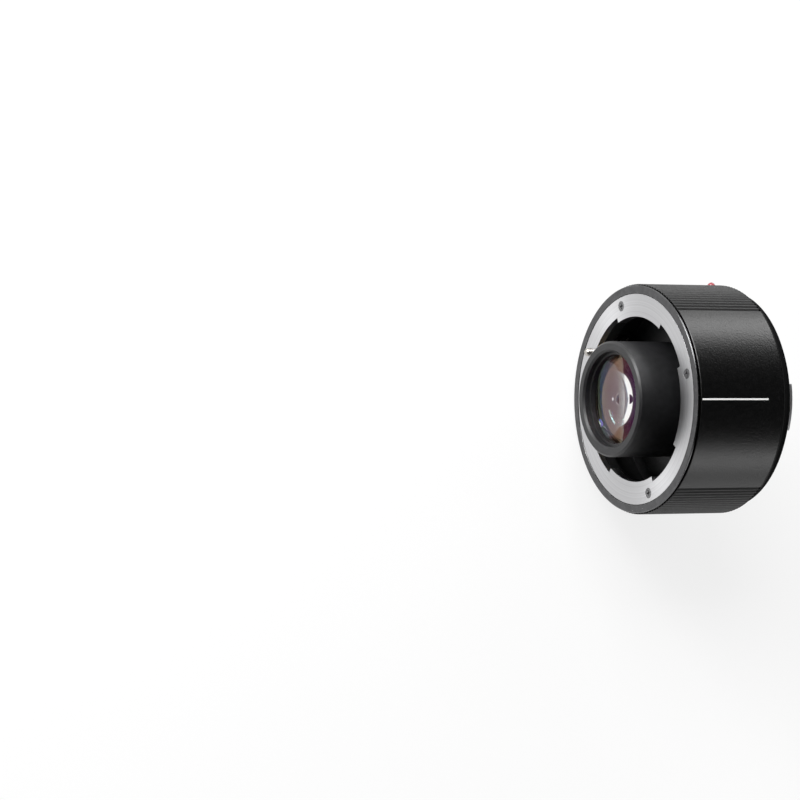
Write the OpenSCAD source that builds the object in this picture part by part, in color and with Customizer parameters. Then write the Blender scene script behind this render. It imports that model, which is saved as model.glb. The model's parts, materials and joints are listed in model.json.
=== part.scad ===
// Camera teleconverter: a short ribbed barrel with a bayonet mount at each end and a lens group inside.
// Each piece is built standing: the optical axis is Z, the lens side is up, and z = 0 is the seat of the rear flange.
// Angles are counted from +X about +Z. The index line side is -Y and the mount dot is on +X.
// The finished part lies on its side: the optical axis is X, the lens side is -X and the index line is on top.

/* [Barrel] */
// Wall thickness
barrel_wall = 1.8; // [1.5:0.1:3]
// Distance from the rear flange face to the front flange face
flange_distance = 33.6; // [33:0.1:40]
// Drop of the front edge below the front flange face
barrel_front_drop = 0.8; // [0.7:0.1:1.2]
// Rise of the rear edge above the rear flange face
barrel_rear_rise = 3.3; // [3.2:0.1:5]
// Height of the bevel at the rear edge
barrel_bevel_h = 0.6; // [0.2:0.1:1]
// Width of the bevel at the rear edge
barrel_bevel_w = 0.4; // [0.1:0.1:0.6]
// Small edge break at the front edge
barrel_edge = 0.15; // [0.05:0.05:0.3]

/* [Grip ribs] */
// Half the angle of each ribbed sector
grip_half_angle = 41; // [30:1:45]
// Angle between neighbouring ribs
rib_pitch_angle = 2.4; // [2:0.1:4]
// Depth of the grooves between the ribs
rib_depth = 0.45; // [0.2:0.05:0.6]
// Width of the grooves at the surface
rib_groove_w = 1.15; // [0.6:0.05:1.15]

/* [Mount dot] */
// Diameter of the dot
dot_d = 2.3; // [1.5:0.1:3.5]
// Height of the dome above the barrel
dot_dome_h = 0.85; // [0.5:0.05:1]
// Height of the dot's centre above the rear flange face
dot_z = 6.45; // [6:0.05:12]
// Depth of the dot's seat in the barrel
dot_seat_depth = 1.1; // [0.8:0.1:1.3]

/* [Rim rings] */
// Width of the front rim's bright edge
front_rim_t = 0.6; // [0.4:0.1:0.8]
// Inset of the front rim from the barrel surface
front_rim_inset = 0.4; // [0.2:0.05:0.8]
// Width of the groove between the front rim and the barrel
front_groove_w = 0.3; // [0.2:0.05:0.5]
// Depth of that groove below the front rim
front_groove_depth = 0.5; // [0.2:0.05:0.6]
// Wall of the front rim's spigot inside the barrel
rim_spigot_wall = 0.6; // [0.5:0.1:1]
// Inset of the rear rim's wide end from the barrel surface
rear_rim_inset = 0.6; // [0.4:0.05:0.8]
// Inward slope of the rear rim over its bevel
rear_rim_bevel_w = 0.8; // [0.3:0.05:1]
// Inward slope of the rear rim over its end
rear_rim_end_w = 0.4; // [0.1:0.05:0.6]
// Height of the rear rim's bevel
rear_rim_bevel_h = 1.5; // [1:0.1:1.7]
// Rise of the rear rim's end above the rear flange face
rear_rim_rise = 0.6; // [0.3:0.1:1]
// Wall of the rear rim around the gasket
rear_rim_wall = 1.1; // [0.8:0.1:1.5]

/* [Rear mount] */
// Outer diameter of the bayonet tube
tube_d = 48.4; // [44:0.1:56]
// Wall of the bayonet tube
tube_wall = 1.2; // [1:0.1:1.6]
// Depth of the bayonet tube behind the flange face
tube_depth = 5; // [4.6:0.1:6]
// Reach of the lugs past the tube
lug_reach = 1.4; // [1:0.1:2]
// Thickness of the lugs
lug_t = 1.7; // [1.4:0.1:2]
// Angle that each lug covers
lug_angle = 31.2; // [24:0.1:36]
// Number of lugs
lug_count = 4; // [3:1:4]
// Angle at which the lug nearest the index line ends
lug_end_angle = 280.2; // [270:0.1:290]
// Thickness of the flange
rear_flange_t = 1.6; // [1.4:0.1:2]
// Width of the relief groove at the root of the tube
relief_w = 1.8; // [1.6:0.1:2]
// Depth of the relief groove
relief_depth = 0.3; // [0.1:0.1:0.5]
// Thickness of the shim under the flange
shim_t = 0.1; // [0.05:0.05:0.3]
// Wall of the rubber gasket around the flange
gasket_wall = 1; // [0.7:0.1:1.2]
// Reach of the gasket's lip past the flange face
gasket_lip = 0.3; // [0.1:0.1:0.5]

/* [Front mount] */
// Width of the front mount ring outside the lug channel
mount_ring_w = 5.2; // [4.5:0.1:8]
// Thickness of the front mount ring
front_flange_t = 2; // [1.8:0.1:2.6]
// Depth of the claws below the front flange face
claw_depth = 3.1; // [2.8:0.1:3.3]
// Room between the claws and a lens tube
claw_clearance = 0.2; // [0.1:0.05:0.3]
// Room between the lug channel and a lens lug
lug_clearance = 0.3; // [0.2:0.05:0.4]
// Extra angle in the gaps that let the lugs in
gap_extra_angle = 4.8; // [3:0.1:8]
// Thickness of the leaf springs behind the claws
leaf_t = 0.3; // [0.2:0.05:0.4]

/* [Lock and release] */
// Diameter of the lock pin
lock_pin_d = 2.4; // [2:0.1:2.6]
// Reach of the lock pin above the front flange face
lock_pin_reach = 1.7; // [1.2:0.1:2]
// Travel of the lock pin
lock_travel = 1.8; // [1.5:0.1:2]
// Turn of the release knob that draws the pin
release_turn = 6; // [5:0.5:7]
// Angle of the lock pin
lock_angle = 60; // [56:1:62]
// Angle of the release knob
knob_angle = 73; // [72:0.5:75]
// Angle that the knob's pad covers
knob_pad_angle = 14; // [12:1:16]
// Height of the knob's pad
knob_pad_h = 7; // [6:0.5:9]
// Thickness of the knob's pad
knob_pad_t = 1.5; // [1.2:0.1:2]
// Thickness of the cam plate
cam_t = 0.65; // [0.5:0.05:0.8]
// Height of the cam plate
cam_h = 6.6; // [6.2:0.1:7]
// Diameter of the lock pin's cross pin
cross_pin_d = 1; // [0.8:0.1:1.2]
// Wire of the lock spring
lock_wire_d = 0.36; // [0.3:0.02:0.4]

/* [Contacts] */
// Number of contacts
contact_count = 10; // [8:1:10]
// Angle between neighbouring contacts
contact_pitch_angle = 7.6; // [7:0.1:8]
// Depth of the front contact block's face below the front flange face
contact_face_depth = 5.6; // [5.4:0.1:6]
// Diameter of the sprung contact pins
contact_pin_d = 0.9; // [0.7:0.1:1]
// Reach of the contact pins above the block
contact_pin_reach = 1.2; // [1:0.1:1.4]
// Diameter of the shoulder that keeps each pin in the block
contact_shoulder_d = 1.3; // [1.2:0.05:1.4]
// Wire of the contact springs
contact_wire_d = 0.2; // [0.16:0.02:0.24]
// Width of the contact blocks along the radius
block_w = 4.7; // [4.2:0.1:4.7]
// Half the angle that the contact blocks cover
block_half_angle = 46; // [45:0.5:48]
// Diameter of the rear contact pads
pad_d = 1.5; // [1.2:0.1:1.7]
// Reach of the pads out of the rear block
pad_reach = 0.3; // [0.1:0.1:0.35]

/* [Lens cells] */
// Depth of the cell seat below the front flange face
cell_seat_depth = 15.6; // [15.4:0.1:16]
// Thickness of the seat shelf in the chassis
shelf_t = 2; // [1.6:0.1:2.4]
// Thickness of the front cell's flange
cell_flange_t = 2; // [1.6:0.1:2.2]
// Diameter of the front cell's flange
cell_flange_d = 49.2; // [46:0.1:54]
// Width of the chassis shelf that the front cell's flange sits on
cell_seat_w = 3.1; // [2.4:0.1:3.4]
// Wall of the snout around the front lens
snout_wall = 3; // [2:0.1:3.2]
// Reach of the snout past the front lens
snout_lip = 1.2; // [0.8:0.1:2]
// Wall of the rear cell
rear_cell_wall = 2; // [1.5:0.1:2.2]
// Wall of the rear cell's nose inside the front cell
nose_wall = 1.35; // [1:0.05:1.4]
// Height of the rear cell's end above the rear flange face
rear_cell_rise = 4.5; // [4.2:0.1:5]
// Width of the rear baffle's window
window_w = 24; // [20:0.5:25]
// Height of the rear baffle's window
window_h = 18; // [14:0.5:19]

/* [Lens elements] */
// Each element: half diameter, centre thickness, front curve, rear curve, where minus means hollow
lens_1 = [14, 5, 38, 90];
// Second element, cemented to the third
lens_2 = [13.4, 1.6, -60, -26];
// Third element
lens_3 = [13, 6, 26, 50];
// Fourth element, first of the cemented triplet
lens_4 = [11.5, 1.4, -30, -24];
// Fifth element
lens_5 = [11.2, 7.4, 24, 22];
// Sixth element, last of the triplet
lens_6 = [11.5, 1.5, -22, -40];
// Seventh element, nearest the camera
lens_7 = [13, 5, 60, 48];
// Height of the front lens above the cell seat
front_vertex_rise = 23.4; // [23:0.1:25]
// Air gap behind the first element
gap_1 = 1.4; // [1.2:0.1:2]
// Air gap behind the third element
gap_3 = 2.77; // [2.5:0.05:3]
// Air gap behind the sixth element
gap_6 = 3.04; // [2.9:0.02:3.2]

/* [Chassis and boards] */
// Wall of the chassis
chassis_wall = 1.4; // [1.2:0.1:1.6]
// Thickness of the chassis's front flange
chassis_front_t = 3.6; // [3.2:0.1:3.8]
// Thickness of the chassis's rear flange
chassis_rear_t = 2; // [1.6:0.1:2.2]
// Thickness of the circuit boards
board_t = 0.8; // [0.6:0.1:1]
// Height of the posts under the main board
board_post_h = 1.3; // [1:0.1:1.6]
// Width of the flex cable
flex_w = 8; // [5:0.5:10]
// Thickness of the flex cable
flex_t = 0.3; // [0.2:0.05:0.4]

/* [Screws] */
// Diameter of the mount screws
screw_d = 1.6; // [1.4:0.1:1.8]
// Diameter of the mount screw heads
screw_head_d = 3; // [2.6:0.1:3.2]
// Height of the screw heads
screw_head_h = 0.9; // [0.7:0.1:1]
// Diameter of the small screws inside
small_screw_d = 1.2; // [1:0.1:1.2]
// Diameter of the small screw heads
small_head_d = 2.2; // [1.8:0.1:2.2]
// Height of the small screw heads
small_head_h = 0.7; // [0.5:0.1:0.8]

/* [Fits] */
// Gap between the barrel and the chassis
sleeve_clearance = 0.3; // [0.1:0.05:0.4]
// Gap around parts that slide in a bore
running_clearance = 0.05; // [0.03:0.01:0.08]
// Gap around screws, pins and inlays that stay put
static_clearance = 0.04; // [0.02:0.01:0.08]
// Gap around parts that drop into a seat
seat_clearance = 0.2; // [0.1:0.05:0.25]
// Gap around the moving cam plate and knob
cam_clearance = 0.25; // [0.2:0.05:0.3]
// Gap around lens elements and between cemented ones
lens_clearance = 0.04; // [0.02:0.01:0.06]

/* [Hidden] */
$fn = 96;

// Directions
dot_angle = 0;
contact_angle = 90;
grip_angles = [0, 180];
mount_screw_angles = [15, 105, 195, 285];
board_screw_angles = [30, 150, 270];
front_cell_screw_angles = [10, 170, 270];
rear_cell_screw_angles = [30, 150, 270];
chip_angles = [195, 235, 320];
lug_pitch_angle = 360 / lug_count;
claw_angle = lug_pitch_angle - lug_angle - gap_extra_angle;
lug_centre_angle = lug_end_angle - lug_angle / 2;
leaf_inset_angle = 4;
leaf_angle = claw_angle - 2 * leaf_inset_angle;
pad_slot_end_angle = 3;
function claw_from(i) = lug_centre_angle - claw_angle / 2 + i * lug_pitch_angle;

// Radii from the mount's tube outwards, so that the barrel follows the mount
tube_r = tube_d / 2;
tube_bore_r = tube_r - tube_wall;
lug_r = tube_r + lug_reach;
claw_r = tube_r + claw_clearance;
channel_r = lug_r + lug_clearance;
chassis_mouth_r = channel_r + seat_clearance;
front_flange_r = channel_r + mount_ring_w;
front_screw_r = (channel_r + front_flange_r) / 2;
rim_bore_r = front_flange_r + seat_clearance;
chassis_r = rim_bore_r + rim_spigot_wall;
chassis_bore_r = chassis_r - chassis_wall;
chassis_mid_r = chassis_bore_r + chassis_wall / 2;
barrel_bore_r = chassis_r + sleeve_clearance;
barrel_r = barrel_bore_r + barrel_wall;

// Radii of the rims, the rear flange and the lock, from the barrel inwards
front_rim_r = barrel_r - front_rim_inset;
rear_rim_top_r = barrel_r - rear_rim_inset;
rear_rim_mid_r = rear_rim_top_r - rear_rim_bevel_w;
rear_rim_end_r = rear_rim_mid_r - rear_rim_end_w;
rear_rim_bore_r = rear_rim_end_r - rear_rim_wall;
gasket_r = rear_rim_bore_r - static_clearance;
gasket_bore_r = gasket_r - gasket_wall;
rear_flange_r = gasket_bore_r - static_clearance;
rear_screw_r = (tube_r + relief_w + rear_flange_r) / 2;
cam_r = chassis_bore_r - cam_clearance;
cam_bore_r = cam_r - cam_t;
lock_pin_r = lock_pin_d / 2;
lock_pitch_r = cam_bore_r - cam_clearance - lock_pin_r;

// Heights from the rear up
chassis_z0 = rear_flange_t + shim_t;
chassis_rear_z = chassis_z0 + chassis_rear_t;
barrel_z0 = barrel_rear_rise;
barrel_z1 = flange_distance - barrel_front_drop;
front_seat_z = flange_distance - front_flange_t;
chassis_front_z = front_seat_z - chassis_front_t;
claw_z = flange_distance - claw_depth;
cell_z = flange_distance - cell_seat_depth;
board_z = chassis_rear_z + board_post_h;
contact_board_z = cell_z + cell_flange_t;
block_z = contact_board_z + board_t;
block_top_z = flange_distance - contact_face_depth;

// Lens vertices from the front down: f is an element's front and b its back
lens_1_f = cell_z + front_vertex_rise;
lens_1_b = lens_1_f - lens_1[1];
lens_2_f = lens_1_b - gap_1;
lens_2_b = lens_2_f - lens_2[1];
lens_3_f = lens_2_b - lens_clearance;
lens_3_b = lens_3_f - lens_3[1];
lens_4_f = lens_3_b - gap_3;
lens_4_b = lens_4_f - lens_4[1];
lens_5_f = lens_4_b - lens_clearance;
lens_5_b = lens_5_f - lens_5[1];
lens_6_f = lens_5_b - lens_clearance;
lens_6_b = lens_6_f - lens_6[1];
lens_7_f = lens_6_b - gap_6;
lens_7_b = lens_7_f - lens_7[1];

// Depth of a curve at a radius, raised for a round surface and sunk for a hollow one
function sag(curve, r) = sign(curve) * (abs(curve) - sqrt(curve * curve - r * r));
function front_at(lens, vertex, r) = vertex - sag(lens[2], r);
function back_at(lens, vertex, r) = vertex + sag(lens[3], r);

// Cell sizes that follow from the elements
snout_r = lens_1[0] + lens_clearance + snout_wall;
snout_z = lens_1_f + snout_lip;
lens_ledge_w = 1.2;
lens_ledge_t = 1.2;
retainer_w = 0.8;
retainer_h = 1.5;
nose_bore_r = lens_4[0] + lens_clearance;
nose_r = nose_bore_r + nose_wall;
middle_retainer_z = front_at(lens_4, lens_4_f, lens_4[0]) + lens_clearance;
middle_retainer_t = 0.3;
nose_z = middle_retainer_z + middle_retainer_t;
ledge_3_r = lens_3[0] - lens_ledge_w;
ledge_3_z = back_at(lens_3, lens_3_b, ledge_3_r) - lens_clearance;
ledge_1_z = back_at(lens_1, lens_1_b, lens_2[0] + lens_clearance) - lens_clearance;
seat_6_z = back_at(lens_6, lens_6_b, lens_6[0]) - lens_clearance;
seat_7_z = front_at(lens_7, lens_7_f, nose_bore_r) + lens_clearance;
rear_bore_r = lens_7[0] + lens_clearance;
rear_cell_r = rear_bore_r + rear_cell_wall;
cell_flange_r = cell_flange_d / 2;
shelf_bore_r = cell_flange_r - cell_seat_w;
rear_cell_flange_r = shelf_bore_r - seat_clearance;
snout_edge = 0.6;
baffle_t = 2.6;
baffle_lip_t = 0.8;
baffle_overlap = 1.2;
baffle_r = rear_cell_r + baffle_overlap;
chassis_rear_bore_r = baffle_r + seat_clearance;

// Contact blocks
snout_room = 1.3;
block_bore_r = snout_r + snout_room;
block_r = block_bore_r + block_w;
block_mid_r = block_bore_r + block_w / 2;
rear_block_r = tube_bore_r - seat_clearance / 2;
rear_block_bore_r = rear_block_r - block_w;
rear_pad_r = rear_block_r - block_w / 2;
rear_block_drop = 0.4;
rear_block_depth = tube_depth - rear_block_drop;
block_screw_inset_angle = 5;
block_screw_offset = block_half_angle - block_screw_inset_angle;
contact_spring_turns = 3;
shoulder_t = 0.75;
shoulder_depth = 2.6;
shoulder_top_z = block_top_z - shoulder_depth;
shoulder_clearance = 0.1;
shoulder_bore_r = contact_shoulder_d / 2 + shoulder_clearance;
function contact_at(i) = contact_angle + (i - (contact_count - 1) / 2) * contact_pitch_angle;

// Release gear
cam_drop = 0.8;
cam_z1 = chassis_front_z - cam_drop;
cam_z0 = cam_z1 - cam_h;
cross_pin_drop = 1.8;
cross_pin_z = cam_z1 - cross_pin_drop;
guide_rise = 1.4;
guide_z = cam_z0 + guide_rise;
guide_bite = 0.8;
guide_offset_angles = [-6.5, 12];
guide_angles = [for (offset = guide_offset_angles) knob_angle + offset];
cam_end_angle = 2.5;
cam_from_angle = lock_angle - release_turn - cam_end_angle;
cam_to_angle = guide_angles[1] + cam_end_angle;
knob_z = (cam_z0 + cam_z1) / 2;
knob_screw_bite = 2.5;
stem_angle = 4.4;
stem_room_angle = 0.6;
stem_h = 3.6;
pad_gap = seat_clearance;

// Resting pose: the part lies on its barrel and on one edge of the knob, with the index line on top
knob_top_r = barrel_r + pad_gap + knob_pad_t;
rest_angle = knob_angle + knob_pad_angle / 2 + acos(barrel_r / knob_top_r);
lay_turn = 180 - rest_angle;
lock_skirt = 2.6;
lock_shaft_z = cross_pin_z - lock_skirt;
lock_stub_l = 2.2;
lock_stub_z = lock_shaft_z - lock_stub_l;
lock_stub_r = 0.6;
lock_tip_edge = 0.4;
lock_spring_turns = 5;
lock_spring_room = 0.1;
lock_spring_r = lock_stub_r + lock_spring_room + lock_wire_d;

// Boards and the flex cable between them
board_gap = 0.5;
board_r = chassis_bore_r - board_gap;
board_room = 1.5;
board_bore_r = rear_cell_r + board_room;
board_screw_inset = 2.4;
board_screw_r = board_r - board_screw_inset;
board_screw_bite = 1;
board_screw_l = board_t + board_post_h + board_screw_bite;
flex_gap = 1.2;
flex_y = cell_flange_r + flex_gap;
flex_room = 0.5;

// Screw places and lengths, where an end is what the screw leaves of the last layer
cell_screw_inset = 1.6;
front_cell_screw_r = cell_flange_r - cell_screw_inset;
rear_cell_screw_r = rear_cell_flange_r - cell_screw_inset;
front_screw_end = 0.6;
rear_screw_end = 0.3;
front_cell_screw_end = 0.4;
rear_cell_screw_end = 0.5;
block_screw_end = 0.5;
rear_block_screw_end = 0.3;
front_screw_l = front_flange_t + chassis_front_t - screw_head_h - front_screw_end;
rear_screw_l = chassis_rear_z - screw_head_h - rear_screw_end;
front_cell_screw_l = cell_flange_t + shelf_t - front_cell_screw_end;
rear_cell_screw_l = shelf_t + cell_flange_t - rear_cell_screw_end;
block_screw_l = block_top_z - cell_z - small_head_h - block_screw_end;
rear_block_screw_l = rear_block_depth + chassis_rear_z - small_head_h - rear_block_screw_end;

// Overrun of a cut past the face that it opens, and overlap that fuses two solids of one piece
cut_over = 1;
fuse = 0.5;

// Colours
paint_black = [0.06, 0.06, 0.06];
moulded_black = [0.05, 0.05, 0.05];
cast_grey = [0.25, 0.25, 0.26];
chrome = [0.78, 0.78, 0.8];
steel = [0.66, 0.66, 0.67];
gold = [0.85, 0.68, 0.3];
dot_red = [0.75, 0.08, 0.1];
board_green = [0.1, 0.35, 0.18];
film_amber = [0.7, 0.45, 0.15];
rubber_black = [0.09, 0.09, 0.09];
glass_clear = [0.75, 0.85, 0.85, 0.5];

// A ring about the optical axis
module ring(r_in, r_out, z0, z1) {
    rotate_extrude()
        translate([r_in, z0])
            square([r_out - r_in, z1 - z0]);
}

// Part of a ring between two angles
module sector(r_in, r_out, z0, z1, from, to) {
    rotate_extrude(angle = to - from, start = from)
        translate([r_in, z0])
            square([r_out - r_in, z1 - z0]);
}

// Children placed at a radius, an angle and a height
module polar(r, angle, z) {
    rotate([0, 0, angle])
        translate([r, 0, z])
            children();
}

// Children built along +Z, laid along the radius at an angle and a height
module radial(angle, z) {
    rotate([0, 0, angle])
        translate([0, 0, z])
            rotate([0, 90, 0])
                children();
}

// A screw whose head top is at z = 0 and whose shank points down
module screw(head_d, head_h, shank_d, shank_l) {
    recess_w = head_d * 0.6;
    recess_t = head_d * 0.14;
    recess_depth = head_h * 0.55;
    difference() {
        union() {
            translate([0, 0, -head_h])
                cylinder(h = head_h, d = head_d);
            translate([0, 0, -head_h - shank_l])
                cylinder(h = shank_l + head_h / 2, d = shank_d);
        }
        for (turn = [0, 90])
            rotate([0, 0, turn])
                translate([-recess_w / 2, -recess_t / 2, -recess_depth])
                    cube([recess_w, recess_t, head_h]);
    }
}

// The room that such a screw needs
module screw_room(head_d, head_h, shank_d, shank_l) {
    gap = 2 * static_clearance;
    translate([0, 0, -head_h])
        cylinder(h = 2 * head_h, d = head_d + gap);
    translate([0, 0, -head_h - shank_l - static_clearance])
        cylinder(h = shank_l + head_h, d = shank_d + gap);
}

// A coil spring standing on z = 0
module coil(mid_r, wire_d, height, turns) {
    rings_per_turn = 8;
    sides = 5;
    count = turns * rings_per_turn;
    wire_r = wire_d / 2;
    rise = height - wire_d;
    points = [
        for (i = [0 : count], j = [0 : sides - 1])
            let (turn = 360 * i / rings_per_turn, side = 360 * j / sides, r = mid_r + wire_r * cos(side))
                [r * cos(turn), r * sin(turn), wire_r + rise * i / count + wire_r * sin(side)]
    ];
    walls = [
        for (i = [0 : count - 1], j = [0 : sides - 1])
            let (a = i * sides + j, b = i * sides + (j + 1) % sides)
                each [[a, a + sides, b + sides], [a, b + sides, b]]
    ];
    first_cap = [for (j = [1 : sides - 2]) [0, j, j + 1]];
    last = count * sides;
    last_cap = [for (j = [1 : sides - 2]) [last, last + j + 1, last + j]];
    polyhedron(points, concat(walls, first_cap, last_cap));
}

// Half of an element's outline, cut by its two curves
module lens_outline(lens, vertex) {
    r = lens[0];
    tall = 3 * r;
    back = vertex - lens[1];
    intersection() {
        if (lens[2] > 0)
            translate([0, vertex - lens[2]])
                circle(lens[2]);
        else
            difference() {
                translate([0, back - tall])
                    square([r, vertex - back + 2 * tall]);
                translate([0, vertex - lens[2]])
                    circle(-lens[2]);
            }
        if (lens[3] > 0)
            translate([0, back + lens[3]])
                circle(lens[3]);
        else
            difference() {
                translate([0, back - tall])
                    square([r, vertex - back + 2 * tall]);
                translate([0, back + lens[3]])
                    circle(-lens[3]);
            }
        translate([0, back - tall / 3])
            square([r, vertex - back + 2 * tall / 3]);
    }
}

module lens_element(lens, vertex) {
    color(glass_clear)
        rotate_extrude($fn = 240)
            lens_outline(lens, vertex, $fn = 360);
}

// Grooves that leave the ribs standing
module rib_grooves() {
    over = 0.3;
    mouth = rib_groove_w / 2 * (rib_depth + over) / rib_depth;
    count = floor(2 * grip_half_angle / rib_pitch_angle);
    for (centre = grip_angles, i = [0 : count - 1])
        rotate([0, 0, centre + (i - (count - 1) / 2) * rib_pitch_angle])
            translate([0, 0, barrel_z0 - over])
                linear_extrude(barrel_z1 - barrel_z0 + 2 * over)
                    polygon([[barrel_r - rib_depth, 0], [barrel_r + over, -mouth], [barrel_r + over, mouth]]);
}

// Slot that the knob's stem moves in
module stem_slot(r_in, r_out) {
    sector(r_in, r_out, knob_z - stem_h / 2 - cam_clearance, knob_z + stem_h / 2 + cam_clearance,
           knob_angle - stem_angle / 2 - stem_room_angle,
           knob_angle + stem_angle / 2 + release_turn + stem_room_angle);
}

module outer_barrel() {
    color(paint_black)
        difference() {
            rotate_extrude()
                polygon([[barrel_bore_r, barrel_z0],
                         [barrel_r - barrel_bevel_w, barrel_z0],
                         [barrel_r, barrel_z0 + barrel_bevel_h],
                         [barrel_r, barrel_z1 - barrel_edge],
                         [barrel_r - barrel_edge, barrel_z1],
                         [barrel_bore_r, barrel_z1]]);
            rib_grooves();
            stem_slot(barrel_bore_r - cut_over, barrel_r + cut_over);
            radial(dot_angle, dot_z)
                translate([0, 0, barrel_r - dot_seat_depth - static_clearance])
                    cylinder(h = dot_seat_depth + cut_over, d = dot_d + 2 * static_clearance);
        }
}

module front_rim_ring() {
    rim_z = barrel_z1 + front_groove_w;
    edge = front_rim_t / 4;
    color(moulded_black)
        rotate_extrude()
            polygon([[rim_bore_r, front_seat_z],
                     [chassis_r, front_seat_z],
                     [chassis_r, barrel_z1],
                     [front_rim_r - front_groove_depth, barrel_z1],
                     [front_rim_r - front_groove_depth, rim_z],
                     [front_rim_r - edge, rim_z],
                     [front_rim_r, rim_z + edge],
                     [front_rim_r, rim_z + front_rim_t - edge],
                     [front_rim_r - edge, rim_z + front_rim_t],
                     [rim_bore_r, rim_z + front_rim_t]]);
}

module rear_rim_ring() {
    color(moulded_black)
        rotate_extrude()
            polygon([[rear_rim_bore_r, rear_rim_rise],
                     [rear_rim_end_r, rear_rim_rise],
                     [rear_rim_mid_r, barrel_z0 - rear_rim_bevel_h],
                     [rear_rim_top_r, barrel_z0],
                     [barrel_bore_r, barrel_z0],
                     [barrel_bore_r, chassis_z0],
                     [rear_rim_bore_r, chassis_z0]]);
}

module mount_dot() {
    dot_r = dot_d / 2;
    dome_r = (dot_r * dot_r + dot_dome_h * dot_dome_h) / (2 * dot_dome_h);
    color(dot_red)
        radial(dot_angle, dot_z)
            rotate_extrude() {
                translate([0, barrel_r - dot_seat_depth])
                    square([dot_r, dot_seat_depth]);
                intersection() {
                    translate([0, barrel_r + dot_dome_h - dome_r])
                        circle(dome_r);
                    translate([0, barrel_r])
                        square([dot_r, 2 * dot_dome_h]);
                }
            }
}

// Slot in the shelf for the flex cable
module flex_slot() {
    translate([-flex_w / 2 - flex_room, flex_y - flex_room, cell_z - shelf_t - cut_over])
        cube([flex_w + 2 * flex_room, flex_t + 2 * flex_room, shelf_t + 2 * cut_over]);
}

module chassis() {
    color(cast_grey)
        difference() {
            union() {
                ring(chassis_bore_r, chassis_r, chassis_z0, front_seat_z);
                ring(chassis_mouth_r, chassis_mid_r, chassis_front_z, front_seat_z);
                ring(shelf_bore_r, chassis_mid_r, cell_z - shelf_t, cell_z);
                ring(chassis_rear_bore_r, chassis_mid_r, chassis_z0, chassis_rear_z);
                for (angle = board_screw_angles)
                    polar(board_screw_r, angle, chassis_z0)
                        cylinder(h = board_z - chassis_z0, d = 2 * small_screw_d);
            }
            for (angle = mount_screw_angles) {
                polar(front_screw_r, angle, flange_distance)
                    screw_room(screw_head_d, screw_head_h, screw_d, front_screw_l);
                polar(rear_screw_r, angle, 0)
                    mirror([0, 0, 1])
                        screw_room(screw_head_d, screw_head_h, screw_d, rear_screw_l);
            }
            polar(lock_pitch_r, lock_angle, chassis_front_z - cut_over)
                cylinder(h = chassis_front_t + 2 * cut_over, r = lock_pin_r + running_clearance);
            stem_slot(chassis_bore_r - cut_over, chassis_r + cut_over);
            for (angle = guide_angles)
                radial(angle, guide_z)
                    translate([0, 0, chassis_bore_r - cut_over])
                        cylinder(h = cut_over + guide_bite + static_clearance,
                                 d = small_screw_d + 2 * static_clearance);
            for (angle = front_cell_screw_angles)
                polar(front_cell_screw_r, angle, contact_board_z + small_head_h)
                    screw_room(small_head_d, small_head_h, small_screw_d, front_cell_screw_l);
            for (angle = board_screw_angles)
                polar(board_screw_r, angle, board_z + board_t + small_head_h)
                    screw_room(small_head_d, small_head_h, small_screw_d, board_screw_l);
            flex_slot();
            sector(rear_pad_r - pad_d / 2 - seat_clearance, rear_pad_r + pad_d / 2 + seat_clearance,
                   chassis_z0 - cut_over, chassis_rear_z + cut_over,
                   contact_at(0) - pad_slot_end_angle, contact_at(contact_count - 1) + pad_slot_end_angle);
            for (side = [-1, 1])
                polar(rear_pad_r, contact_angle + side * block_screw_offset, -rear_block_depth)
                    mirror([0, 0, 1])
                        screw_room(small_head_d, small_head_h, small_screw_d, rear_block_screw_l);
        }
}

module front_bayonet_ring() {
    color(chrome)
        difference() {
            union() {
                ring(channel_r, front_flange_r, front_seat_z, flange_distance);
                for (i = [0 : lug_count - 1])
                    sector(claw_r, channel_r + fuse, front_seat_z, flange_distance,
                           claw_from(i), claw_from(i) + claw_angle);
                for (i = [0 : lug_count - 1])
                    sector(claw_r, channel_r, claw_z, front_seat_z + fuse,
                           claw_from(i), claw_from(i) + claw_angle);
            }
            for (angle = mount_screw_angles)
                polar(front_screw_r, angle, flange_distance)
                    screw_room(screw_head_d, screw_head_h, screw_d, front_screw_l);
            polar(lock_pitch_r, lock_angle, front_seat_z - cut_over)
                cylinder(h = front_flange_t + 2 * cut_over, r = lock_pin_r + running_clearance);
        }
}

module bayonet_leaf_springs() {
    color(steel)
        for (i = [0 : lug_count - 1])
            sector(claw_r + seat_clearance, channel_r, claw_z - leaf_t, claw_z,
                   claw_from(i) + leaf_inset_angle, claw_from(i) + leaf_inset_angle + leaf_angle);
}

module front_mount_screws() {
    color(steel)
        for (angle = mount_screw_angles)
            polar(front_screw_r, angle, flange_distance - static_clearance)
                screw(screw_head_d, screw_head_h - static_clearance, screw_d, front_screw_l);
}

module lock_pin() {
    tip_z = flange_distance + lock_pin_reach;
    color(steel)
        polar(lock_pitch_r, lock_angle, 0)
            difference() {
                rotate_extrude()
                    polygon([[0, lock_stub_z],
                             [lock_stub_r, lock_stub_z],
                             [lock_stub_r, lock_shaft_z],
                             [lock_pin_r, lock_shaft_z],
                             [lock_pin_r, tip_z - lock_tip_edge],
                             [lock_pin_r - lock_tip_edge, tip_z],
                             [0, tip_z]]);
                translate([0, 0, cross_pin_z])
                    rotate([0, 90, 0])
                        translate([0, 0, -lock_pin_r / 2])
                            cylinder(h = 2 * lock_pin_r, d = cross_pin_d + 2 * static_clearance);
            }
}

module lock_cross_pin() {
    start_r = lock_pitch_r - lock_pin_r / 2 + static_clearance;
    color(steel)
        radial(lock_angle, cross_pin_z)
            translate([0, 0, start_r])
                cylinder(h = cam_r - start_r, d = cross_pin_d);
}

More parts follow.
